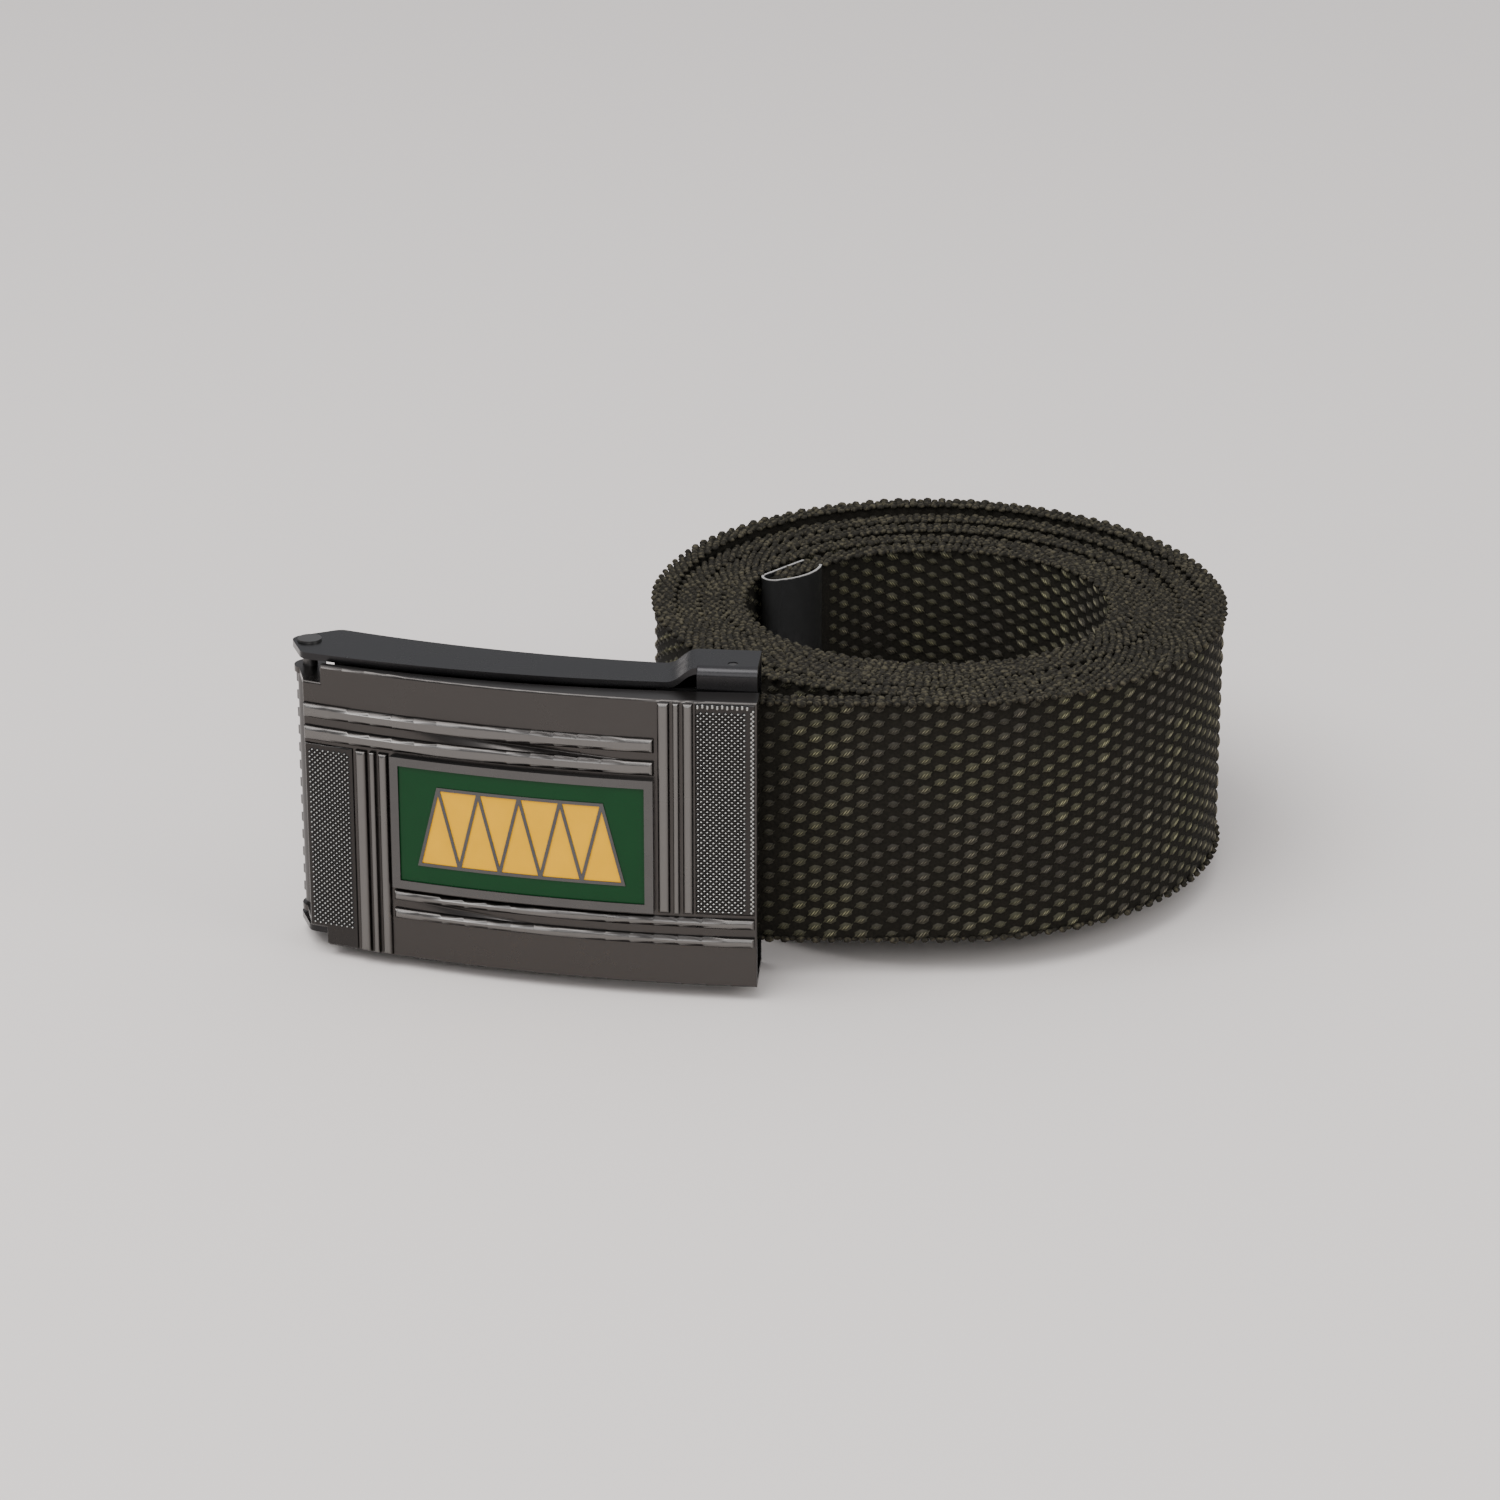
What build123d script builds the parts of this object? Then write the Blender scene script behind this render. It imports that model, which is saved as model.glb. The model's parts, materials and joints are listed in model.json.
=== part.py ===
from build123d import *

import math
import os

# Webbing belt with a flip-top plate buckle, rolled up for storage. Millimetres, +Z up.
# The belt stands on its edge. It is drawn level first, in the belt frame: strap edge at z = 0 and
# roll centre at the origin, X right, Y back. The buckle is deeper than the strap, so the finished
# belt leans back until the roll's far edge and the buckle's lower edge share one floor.

# ---- strap ---------------------------------------------------------------------------------------
strap_width = 38.0
strap_thick = 3.2
turn_gap = 0.4              # air between neighbouring turns
roll_radius = 45.0          # outside radius of the roll
half_turns = 9              # half turns before the last curl
curl_sweep = 50.0           # degrees
entry_straight = 12.0       # straight strap between the roll and the buckle's arc

# ---- metal tip on the strap's free end -------------------------------------------------------
tip_length = 11.5
tip_sheet = 0.4
tip_bulge = 1.4             # how far the folded sheet stands off the strap
tip_shoulder = 0.27         # where the nose begins, beyond the strap's face
tip_play = 0.1
tip_clearance = 0.27        # from the tip's back to the turn outside it

# ---- buckle: s runs along the cover's face arc from the roll to the hinge, depth runs behind it
face_radius = 195.0
cover_free = 15.3           # s of the cover's free end
cover_length = 69.8
cover_sheet = 0.9
cover_drop = 1.0            # the cover hangs this much below the frame by its side play
frame_sheet = 1.0
frame_rise = 0.5            # frame centre above strap centre
side_room = 2.25            # from the strap's edge to the frame wall
strap_depth = 8.8           # front face of the strap inside the clamp
plate_play = 0.15           # between strap and back plate
wall_edge_hinge = 1.7       # depth of the wall's front edge at the hinge
wall_edge_end = 4.8         # and at the clamp end
end_step = 2.45             # how far the clamp end stands proud of the side walls
bridge_start = 0.35         # clamp end, measured from the cover's free end
bridge_length = 9.05
joggle_length = 5.6
bridge_sheet = 0.8
end_corner = 1.5            # rounding of the clamp end's front corners

# ---- hinge ---------------------------------------------------------------------------------------
pin_offset = 2.6            # pin beyond the cover's hinge end
pin_depth = 6.9
hinge_pin_radius = 1.1
pin_head_radius = 1.8
pin_head = 0.35
ear_reach = 3.4             # ear tip beyond the pin
ear_back = 1.9              # ear's back corner short of the pin
ear_front = 1.6             # ear's front corner short of the pin
ear_round = 1.9
lug_room = 1.7              # between frame wall and hinge lug, shared by both sides
lug_radius = 2.4
lug_width = 3.6
fit_gap = 0.05              # radial clearance of a running pin
notch_length = 3.0          # cover corners cut back at the hinge

# ---- cover relief --------------------------------------------------------------------------------
flange_hinge = 1.2          # depth of the bent edges at the hinge
flange_end = 4.6            # and at the free end
relief = 0.75
relief_round = 0.65         # ribs are nearly half round
round_share = 0.46          # and never rounded beyond this share of their width
face_round = 0.35           # outer edges of the cover's face
panel_relief = 0.25
edge_margin = 0.3
rib_gap = 0.55              # between upright ribs, and round each group
long_rib_gap = 1.3          # between the ribs above and below the badge
free_panel = 9.0            # knurled panel at the free end
hinge_panel = 8.5           # knurled panel at the hinge
upright_ribs = (1.5, 0.85, 1.75)
top_ribs = (2.2, 2.2)
bottom_ribs = (1.6, 1.6)
top_band = 6.0              # plain band above the top ribs
bottom_band = 6.4           # plain band below the bottom ribs

# ---- grip cam ------------------------------------------------------------------------------------
cam_radius = 1.9
cam_tip = 3.1               # tooth tips from the pin's centre
cam_angles = (205, 230, 255)  # tooth directions from the face, degrees
cam_teeth = 13
cam_foot = 9.0
cam_sheet = 0.8
cam_end_gap = 0.4

# ---- clamp lever ---------------------------------------------------------------------------------
clamp_offset = 4.2          # clamp pin from the cover's free end
clamp_depth = 7.15
clamp_pin_radius = 0.75
lever_radius = 1.25
lever_reach = 11.8
lever_front = 7.4
lever_sheet = 0.8
lever_end_gap = 0.3
tab_side_gap = 0.75
bite_offset = 3.0           # teeth from the pin
bite_width = 1.4
bite_gap = 0.15             # teeth stop just short of the strap
tooth_root = 0.1            # teeth start this far inside the tab
lever_teeth = 12
pin_recess = 0.15

# ---- badge ---------------------------------------------------------------------------------------
badge_gap = 0.6
badge_base = 0.3
border_width = 1.3
border_height = 1.0
enamel_height = 0.7
wire_height = 0.85
wire_width = 0.5
motif_side = 3.1            # enamel left free beside the motif
motif_edge = 2.95           # and above and below it
motif_cells = 9

far = 300.0                 # larger than the belt

turn_pitch = strap_thick + turn_gap
first_radius = roll_radius - strap_thick / 2
tip_back = strap_thick / 2 + tip_sheet
tip_nose = tip_back         # the nose is round
strap_mid_depth = strap_depth + strap_thick / 2
arc_centre = (-entry_straight, face_radius - strap_mid_depth - first_radius)
strap_mid = strap_width / 2
frame_mid = strap_mid + frame_rise
cover_mid = frame_mid - cover_drop
wall_half = strap_width / 2 + side_room + frame_sheet
wall_inner = wall_half - frame_sheet
end_half = wall_half + end_step
end_inner = end_half - frame_sheet
cover_half = wall_half
lug_half = wall_inner - lug_room
plate_front = strap_depth + strap_thick + plate_play
plate_back = plate_front + frame_sheet
cover_hinge = cover_free + cover_length
pin_s = cover_hinge + pin_offset
frame_end = cover_free + bridge_start
bridge_end = frame_end + bridge_length
joggle_end = bridge_end + joggle_length
clamp_s = cover_free + clamp_offset


def at(s, depth=0.0):
    """Plan point of the buckle: s along the face, depth behind it."""
    turn = s / face_radius
    reach = face_radius - depth
    return (arc_centre[0] - reach * math.sin(turn), arc_centre[1] - reach * math.cos(turn))


def arc_at(s0, s1, depth):
    """Arc of the buckle at one depth."""
    return Edge.make_three_point_arc(*[Vector(*at(s, depth)) for s in (s0, (s0 + s1) / 2, s1)])


def line(start, end):
    """Straight edge between two plan points."""
    return Edge.make_line(Vector(*start), Vector(*end))


def raised(edges, bottom, top):
    """Upright solid over a closed ring of plan edges."""
    return Pos(0, 0, bottom) * extrude(make_face(edges), top - bottom, dir=(0, 0, 1))


def band(s0, s1, d0, d1, z0, z1):
    """Curved slab between two stations, two depths and two heights."""
    ends = [line(at(s0, d0), at(s0, d1)), line(at(s1, d0), at(s1, d1))]
    return raised([arc_at(s0, s1, d0), arc_at(s0, s1, d1)] + ends, z0, z1)


def prism(points, bottom, top):
    """Upright solid over a polygon of plan points."""
    face = make_face(Polyline(*points, close=True))
    return Pos(0, 0, bottom) * extrude(face, top - bottom, dir=(0, 0, 1))


def post(point, radius, bottom, top):
    """Upright cylinder."""
    return Pos(point[0], point[1], (bottom + top) / 2) * Cylinder(radius, top - bottom)


def face_distance(face):
    """How far a face's middle is from the axis of the buckle's arcs."""
    middle = face.center()
    return math.hypot(middle.X - arc_centre[0], middle.Y - arc_centre[1])


# ---- strap ---------------------------------------------------------------------------------------
def curl_radius(before):
    """Radius of the last curl after one of radius before, so that the tip clears the turn outside."""
    sweep = math.radians(curl_sweep)
    rise = 1 - math.cos(sweep)
    along = tip_length - tip_nose
    room = before + turn_pitch / 2 - strap_thick / 2 - tip_clearance
    ahead = along * math.cos(sweep) + tip_back * math.sin(sweep)
    aside = along * math.sin(sweep) - tip_back * math.cos(sweep) - before + turn_pitch / 2
    half = ahead * math.sin(sweep) + aside * rise
    rest = ahead ** 2 + aside ** 2 - room ** 2
    return (math.sqrt(half ** 2 - 2 * rise * rest) - half) / (2 * rise)


def strap_runs():
    """The roll's centre line inwards from the buckle: length or radius, and sweep in degrees."""
    runs = [(entry_straight, 0.0)]
    for half in range(half_turns):
        runs.append((first_radius - half * turn_pitch / 2, 180.0))
    runs.append((curl_radius(runs[-1][0]), curl_sweep))
    runs.append((tip_length - tip_nose - tip_play, 0.0))
    return runs


def walk(offset):
    """Edges of the roll at an offset towards its middle, and where and how they end."""
    x, y, angle = -entry_straight, -first_radius, 0.0
    edges = []
    for size, sweep in strap_runs():
        turn = math.radians(angle)
        left = (-math.sin(turn), math.cos(turn))
        here = (x + left[0] * offset, y + left[1] * offset)
        if not sweep:
            step = (size * math.cos(turn), size * math.sin(turn))
            edges.append(line(here, (here[0] + step[0], here[1] + step[1])))
            x, y = x + step[0], y + step[1]
            continue
        centre = (x + left[0] * size, y + left[1] * size)
        begin = turn - math.pi / 2
        points = []
        for part in (0, 0.5, 1):
            around = begin + math.radians(sweep) * part
            side = size - offset
            points.append(Vector(centre[0] + side * math.cos(around), centre[1] + side * math.sin(around)))
        edges.append(Edge.make_three_point_arc(*points))
        around = begin + math.radians(sweep)
        x, y = centre[0] + size * math.cos(around), centre[1] + size * math.sin(around)
        angle += sweep
    return edges, (x, y), angle


def make_webbing():
    """The woven strap: clamped end, buckle arc, entry straight and the spiral roll."""
    inner = [arc_at(joggle_end, 0, strap_depth + strap_thick)] + walk(strap_thick / 2)[0]
    outer = [arc_at(joggle_end, 0, strap_depth)] + walk(-strap_thick / 2)[0]
    caps = [Edge.make_line(inner[0] @ 0, outer[0] @ 0), Edge.make_line(inner[-1] @ 1, outer[-1] @ 1)]
    return raised(inner + outer + caps, 0, strap_width)


def strap_length():
    """Cut length of the strap."""
    total = joggle_end / face_radius * (face_radius - strap_mid_depth)
    for size, sweep in strap_runs():
        total += size * math.radians(sweep) if sweep else size
    return total


def make_tip():
    """Folded sheet-metal end piece, open at its mouth and at the strap's two edges."""
    back = -tip_back
    front = tip_back + tip_bulge
    nose = tip_length - tip_nose
    shoulder = (nose + tip_nose / 3, strap_thick / 2 + tip_shoulder)
    outline = [
        Line((0, back), (nose, back)),
        ThreePointArc((nose, back), (tip_length, 0), shoulder),
        ThreePointArc(shoulder, (tip_length / 2, front), (0, -back)),
        Line((0, -back), (0, back)),
    ]
    shape = make_face(outline)
    hollow = offset(shape, -tip_sheet)
    mouth = Pos(tip_sheet / 2, 0) * Rectangle(tip_sheet * 2.2, strap_thick)
    end, angle = walk(0)[1:]
    turn = math.radians(angle)
    reach = tip_length - tip_nose - tip_play
    start = (end[0] - reach * math.cos(turn), end[1] - reach * math.sin(turn), 0)
    place = Location(start, (0, 0, angle))
    return place * extrude(shape - hollow - mouth, strap_width, dir=(0, 0, 1))


# ---- buckle frame --------------------------------------------------------------------------------
def wall_plan():
    """Side walls in plan: hinge ear, sloping front edge and clamp end."""
    back_corner, tip, front_corner = ear_corners()
    middle = (joggle_end + pin_s) / 2
    front_edge = Edge.make_three_point_arc(
        Vector(*front_corner),
        Vector(*at(middle, (wall_edge_hinge + wall_edge_end) / 2)),
        Vector(*at(joggle_end, wall_edge_end)),
    )
    edges = [
        arc_at(frame_end, pin_s - ear_back, plate_back),
        line(back_corner, tip),
        line(tip, front_corner),
        front_edge,
        arc_at(joggle_end, frame_end, wall_edge_end),
        line(at(frame_end, wall_edge_end), at(frame_end, plate_back)),
    ]
    face = make_face(edges)
    return fillet(face.vertices().sort_by(Axis.X)[:3], ear_round)


def ear_corners():
    """Back corner, tip and front corner of the hinge ears."""
    back_corner = at(pin_s - ear_back, plate_back)
    front_corner = at(pin_s - ear_front, wall_edge_hinge)
    return back_corner, at(pin_s + ear_reach, pin_depth), front_corner


def height_envelope(inset):
    """Solid as tall as the frame: level, then a joggle out to the clamp end."""
    middle_depth = (wall_edge_end + plate_back) / 2
    low, high = wall_half - inset, end_half - inset
    step0, step1 = at(joggle_end, middle_depth)[0], at(bridge_end, middle_depth)[0]
    edges = []
    for side in (1, -1):
        edges.append(Line((-far, side * low), (step0, side * low)))
        edges.append(Spline((step0, side * low), (step1, side * high), tangents=[(1, 0), (1, 0)]))
        edges.append(Line((step1, side * high), (far, side * high)))
    edges.append(Line((-far, low), (-far, -low)))
    edges.append(Line((far, high), (far, -high)))
    return extrude(Plane.XZ * make_face(edges), far, both=True)


def rounded_end(inset):
    """Clamp end block, or with an inset the space inside it, its front corners rounded."""
    half = end_half - inset
    front = wall_edge_end + (bridge_sheet if inset else 0)
    back = plate_front if inset else plate_back
    over = 1.0 if inset else 0.0
    block = band(frame_end - over, bridge_end + over, front, back, -half, half)
    outer = block.faces().sort_by(face_distance)[-1]
    long_edges = outer.edges().filter_by(GeomType.CIRCLE)
    return fillet(long_edges, end_corner - (bridge_sheet if inset else 0))


def make_frame():
    """Back plate, two side walls with hinge ears, and the clamp end with its bridge."""
    body = Pos(0, 0, -far / 2) * extrude(wall_plan(), far, dir=(0, 0, 1))
    inside = band(0, pin_s * 1.3, -far / 10, plate_front, -far / 2, far / 2)
    main = (body & height_envelope(0)) - (inside & height_envelope(frame_sheet))
    main -= band(0, bridge_end, -far / 10, plate_back * 2, -far / 2, far / 2)
    frame = main + (rounded_end(0) - rounded_end(frame_sheet))
    frame -= post(at(pin_s, pin_depth), hinge_pin_radius, -far, far)
    frame -= post(at(clamp_s, clamp_depth), clamp_pin_radius, -far, far)
    return Pos(0, 0, frame_mid) * frame


def make_hinge_pin():
    """Rivet pin through both hinge ears with low heads."""
    where = at(pin_s, pin_depth)
    pin = post(where, hinge_pin_radius, -wall_half, wall_half)
    pin += post(where, pin_head_radius, wall_half, wall_half + pin_head)
    pin += post(where, pin_head_radius, -wall_half - pin_head, -wall_half)
    return Pos(0, 0, frame_mid) * pin


def make_clamp_pin():
    """Plain pin of the clamp lever, its ends just below the outer faces."""
    half = end_half - pin_recess
    return Pos(0, 0, frame_mid) * post(at(clamp_s, clamp_depth), clamp_pin_radius, -half, half)


def make_clamp_lever():
    """Hinged clamp on the strap's cut end: barrel, thumb tab and a row of teeth."""
    where = at(clamp_s, clamp_depth)
    barrel_half = end_inner - lever_end_gap
    tab_half = wall_inner - tab_side_gap
    back = lever_front + lever_sheet
    lever = post(where, lever_radius, -barrel_half, barrel_half)
    lever += band(clamp_s, clamp_s + lever_reach, lever_front, back, -tab_half, tab_half)
    middle = clamp_s + bite_offset
    tip = strap_depth - bite_gap
    root = back - tooth_root
    tooth = [at(middle - bite_width / 2, root), at(middle, tip), at(middle + bite_width / 2, root)]
    pitch = 2 * tab_half / lever_teeth
    for step in range(lever_teeth):
        low = (step + 0.25) * pitch - tab_half
        lever += prism(tooth, low, low + pitch / 2)
    lever -= post(where, clamp_pin_radius + fit_gap, -far, far)
    return Pos(0, 0, frame_mid) * lever


# ---- cover ---------------------------------------------------------------------------------------
def flange(side):
    """Bent edge of the cover, deeper towards the free end."""
    full = cover_hinge - notch_length
    middle = (cover_free + full) / 2
    edges = [
        arc_at(cover_free, full, 0),
        line(at(full, 0), at(full, flange_hinge)),
        Edge.make_three_point_arc(
            Vector(*at(full, flange_hinge)),
            Vector(*at(middle, (flange_hinge + flange_end) / 2)),
            Vector(*at(cover_free, flange_end)),
        ),
        line(at(cover_free, flange_end), at(cover_free, 0)),
    ]
    z0, z1 = sorted((side * (cover_half - cover_sheet), side * cover_half))
    return raised(edges, z0, z1)


def lug(side):
    """Hinge lug bent back from the notched end of the cover, inside the ear."""
    z0, z1 = sorted((side * (lug_half - cover_sheet), side * lug_half))
    pin = at(pin_s, pin_depth)
    points = [
        at(cover_hinge - lug_width, cover_sheet / 2),
        at(cover_hinge, cover_sheet / 2),
        at(pin_s + lug_radius, pin_depth),
        at(pin_s - lug_radius, pin_depth),
    ]
    return prism(points, z0, z1) + post(pin, lug_radius, z0, z1)


def relief_block(s0, s1, z0, z1, height):
    """Raised rib or panel with softened outer edges; s from the cover's free end."""
    block = band(cover_free + s0, cover_free + s1, -height, 0, z0, z1)
    outer = block.faces().sort_by(face_distance)[-1]
    narrow = min(s1 - s0, z1 - z0)
    return fillet(outer.edges(), min(relief_round, height * 0.85, narrow * round_share))


ribs_free_start = free_panel + edge_margin
ribs_free_end = ribs_free_start + sum(upright_ribs) + 2 * rib_gap
ribs_hinge_end = cover_length - hinge_panel - edge_margin
ribs_hinge_start = ribs_hinge_end - sum(upright_ribs) - 2 * rib_gap
top_high = cover_half - top_band
top_low = top_high - sum(top_ribs) - long_rib_gap
bottom_low = bottom_band - cover_half
bottom_high = bottom_low + sum(bottom_ribs) + long_rib_gap
badge_s = (ribs_free_end + badge_gap, ribs_hinge_start - badge_gap)
badge_z = (bottom_high + badge_gap, top_low - badge_gap)


def rows(start, widths, gap):
    """Low and high edge of each rib in a group."""
    spans = []
    for width in widths:
        spans.append((start, start + width))
        start += width + gap
    return spans


def cover_relief():
    """Ribs laid round the badge like a pinwheel, and a panel for the knurl at each end."""
    low, high = edge_margin - cover_half, cover_half - edge_margin
    left, right = cover_length - edge_margin, edge_margin
    hinge_clear = cover_length - notch_length
    blocks = []
    for s0, s1 in rows(ribs_free_start, upright_ribs, rib_gap):
        blocks.append(relief_block(s0, s1, bottom_high + rib_gap, high, relief))
    for s0, s1 in rows(ribs_hinge_start, upright_ribs, rib_gap):
        blocks.append(relief_block(s0, s1, low, top_low - rib_gap, relief))
    for z0, z1 in rows(top_low, top_ribs, long_rib_gap):
        blocks.append(relief_block(ribs_free_end + rib_gap, left, z0, z1, relief))
    for z0, z1 in rows(bottom_low, bottom_ribs, long_rib_gap):
        blocks.append(relief_block(right, ribs_hinge_start - rib_gap, z0, z1, relief))
    blocks.append(relief_block(right, free_panel, bottom_high + rib_gap, high, panel_relief))
    hinge_low = edge_margin - lug_half
    blocks.append(relief_block(ribs_hinge_end + rib_gap, left, hinge_low, top_low - rib_gap, panel_relief))
    blocks.append(relief_block(ribs_hinge_end + rib_gap, hinge_clear, low, hinge_low + 1, panel_relief))
    return blocks


def make_cover():
    """Curved cover plate with bent edges, hinge lugs and relief."""
    full = cover_hinge - notch_length
    cover = band(cover_free, full, 0, cover_sheet, -cover_half, cover_half)
    cover += band(full, cover_hinge, 0, cover_sheet, -lug_half, lug_half)
    for side in (1, -1):
        cover += flange(side)
    face = cover.faces().sort_by(face_distance)[-1]
    cover = fillet(face.edges(), face_round)
    for side in (1, -1):
        cover += lug(side)
    for block in cover_relief():
        cover += block
    cover -= post(at(pin_s, pin_depth), hinge_pin_radius + fit_gap, -far, far)
    return Pos(0, 0, cover_mid) * cover


def make_grip_cam():
    """Toothed cam round the hinge pin, its foot welded to the cover's back."""
    half = lug_half - cover_sheet - cam_end_gap
    pin = at(pin_s, pin_depth)
    cam = post(pin, cam_radius, -half, half)
    cam += band(cover_hinge - cam_foot, cover_hinge, cover_sheet, cover_sheet + cam_sheet, -half, half)
    arm = [
        at(cover_hinge - 1.6, cover_sheet + cam_sheet / 2),
        at(cover_hinge, cover_sheet + cam_sheet / 2),
        at(pin_s + cam_radius * 0.6, pin_depth),
        at(pin_s - cam_radius * 0.6, pin_depth),
    ]
    cam += prism(arm, -half, half)
    facing = -90 - math.degrees(pin_s / face_radius)
    pitch = 2 * half / cam_teeth
    for angle in cam_angles:
        turn = math.radians(facing + angle)
        tooth = []
        for reach, spread in ((cam_tip, 0.0), (cam_radius * 0.9, 0.35), (cam_radius * 0.9, -0.35)):
            around = turn + spread
            tooth.append((pin[0] + reach * math.cos(around), pin[1] + reach * math.sin(around)))
        for step in range(cam_teeth):
            low = (step + 0.25) * pitch - half
            cam += prism(tooth, low, low + pitch / 2)
    cam -= post(pin, hinge_pin_radius + fit_gap, -far, far)
    return Pos(0, 0, cover_mid) * cam


# ---- badge ---------------------------------------------------------------------------------------
def badge_band(s0, s1, low, high, z0, z1):
    """Slab of the badge; low and high are heights above the cover's face."""
    return band(cover_free + s0, cover_free + s1, -high, -low, z0, z1)


def motif_box():
    """Edges of the zigzag band, set in from the badge's border."""
    (s0, s1), (z0, z1) = badge_s, badge_z
    side, edge = border_width + motif_side, border_width + motif_edge
    return s0 + side, s1 - side, z0 + edge, z1 - edge


def motif_plane():
    """Plane square to the badge's middle, and the same middle as s."""
    s0, s1 = motif_box()[:2]
    middle = (s0 + s1) / 2
    heading = math.degrees((cover_free + middle) / face_radius)
    across = Vector(-1, 0, 0).rotate(Axis.Z, -heading)
    return Plane(origin=(*at(cover_free + middle), 0), x_dir=across, z_dir=at_normal(heading)), middle


def motif_prism(points, grow):
    """Prism through the badge over points given as (s, z), grown or shrunk all round."""
    plane, middle = motif_plane()
    corners = [(s - middle, z * plane.y_dir.Z) for s, z in points]
    shape = offset(make_face(Polyline(*corners, close=True)), grow, kind=Kind.INTERSECTION)
    return extrude(plane * shape, border_height * 3, both=True)


def motif_outline():
    """Prism over the whole zigzag band and the wire round it."""
    s0, s1, z0, z1 = motif_box()
    lean = (s1 - s0) / (motif_cells + 1)
    return motif_prism([(s0, z0), (s1, z0), (s1 - lean, z1), (s0 + lean, z1)], wire_width / 2)


def motif_triangles():
    """Prisms over the alternating triangles of the band, short of the wires between them."""
    s0, s1, z0, z1 = motif_box()
    lean = (s1 - s0) / (motif_cells + 1)
    prisms = []
    for cell in range(motif_cells):
        middle = s0 + lean * (cell + 1)
        base, tip = (z0, z1) if cell % 2 == 0 else (z1, z0)
        corners = [(middle - lean, base), (middle + lean, base), (middle, tip)]
        prisms.append(motif_prism(corners, -wire_width / 2))
    return prisms


def at_normal(heading):
    """Outward normal of the cover's face at a heading in degrees."""
    turn = math.radians(heading)
    return Vector(-math.sin(turn), -math.cos(turn), 0)


def make_badge():
    """Badge base, raised border and the raised wires that part the enamel."""
    (s0, s1), (z0, z1), edge = badge_s, badge_z, border_width
    badge = badge_band(s0, s1, 0, badge_base, z0, z1)
    border = badge_band(s0, s1, badge_base, border_height, z0, z1)
    badge += border - badge_band(s0 + edge, s1 - edge, 0, border_height + 1, z0 + edge, z1 - edge)
    wires = badge_band(s0, s1, badge_base, wire_height, z0, z1) & motif_outline()
    for cell in motif_triangles():
        wires -= cell
    return Pos(0, 0, cover_mid) * (badge + wires)


def make_enamel_ground():
    """Dark enamel field between the border and the zigzag band."""
    (s0, s1), (z0, z1), edge = badge_s, badge_z, border_width
    ground = badge_band(s0 + edge, s1 - edge, badge_base, enamel_height, z0 + edge, z1 - edge)
    ground -= motif_outline()
    return Pos(0, 0, cover_mid) * ground


def make_enamel_motif():
    """Light enamel in the cells of the zigzag band."""
    fill = badge_band(*badge_s, badge_base, enamel_height, *badge_z)
    cells = []
    for cell in motif_triangles():
        cells.extend((fill & cell).solids())
    return Pos(0, 0, cover_mid) * Compound(children=cells)


# ---- assembly ------------------------------------------------------------------------------------
def feet():
    """Lowest corners of the buckle that can touch the floor."""
    full = cover_hinge - notch_length
    return [
        (*at(bridge_end, plate_back), frame_mid - end_half),
        (*at(frame_end, plate_back), frame_mid - end_half),
        (*at(full, flange_hinge), cover_mid - cover_half),
        (*at(cover_free, flange_end), cover_mid - cover_half),
        (*at(pin_s - ear_back, plate_back), frame_mid - wall_half),
        (*at(pin_s, pin_depth - pin_head_radius), frame_mid - wall_half - pin_head),
    ]


def floor_slopes():
    """Slopes of the floor in the belt frame: it touches two feet and the roll's lower rim."""
    points = feet()
    for first in range(len(points)):
        for second in range(first + 1, len(points)):
            (x1, y1, z1), (x2, y2, z2) = points[first], points[second]
            across = x1 * y2 - x2 * y1
            rim = 0.0
            for _ in range(80):
                slope_x = ((z1 + rim) * y2 - (z2 + rim) * y1) / across
                slope_y = (x1 * (z2 + rim) - x2 * (z1 + rim)) / across
                rim = (rim + roll_radius * math.hypot(slope_x, slope_y)) / 2
            if all(z - slope_x * x - slope_y * y + rim > -1e-4 for x, y, z in points) and slope_y > 0:
                return slope_x, slope_y
    return 0.0, 0.0


def upright():
    """Placement that turns the belt frame so that the floor is level."""
    slope_x, slope_y = floor_slopes()
    floor = Plane(origin=(0, 0, 0), x_dir=(1, 0, slope_x), z_dir=(-slope_x, -slope_y, 1))
    return floor.location.inverse()


def build_parts():
    """All pieces in the belt frame."""
    return {
        "webbing": make_webbing(),
        "belt_tip": make_tip(),
        "buckle_frame": make_frame(),
        "hinge_pin": make_hinge_pin(),
        "clamp_pin": make_clamp_pin(),
        "clamp_lever": make_clamp_lever(),
        "cover_plate": make_cover(),
        "grip_cam": make_grip_cam(),
        "badge_plate": make_badge(),
        "enamel_ground": make_enamel_ground(),
        "enamel_motif": make_enamel_motif(),
    }


def report_point(label, place, point):
    """Prints a belt-frame point as the finished part has it, in metres."""
    spot = (place * Pos(*point)).position
    print(label, [round(value / 1000, 6) for value in (spot.X, spot.Y, spot.Z)])


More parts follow.
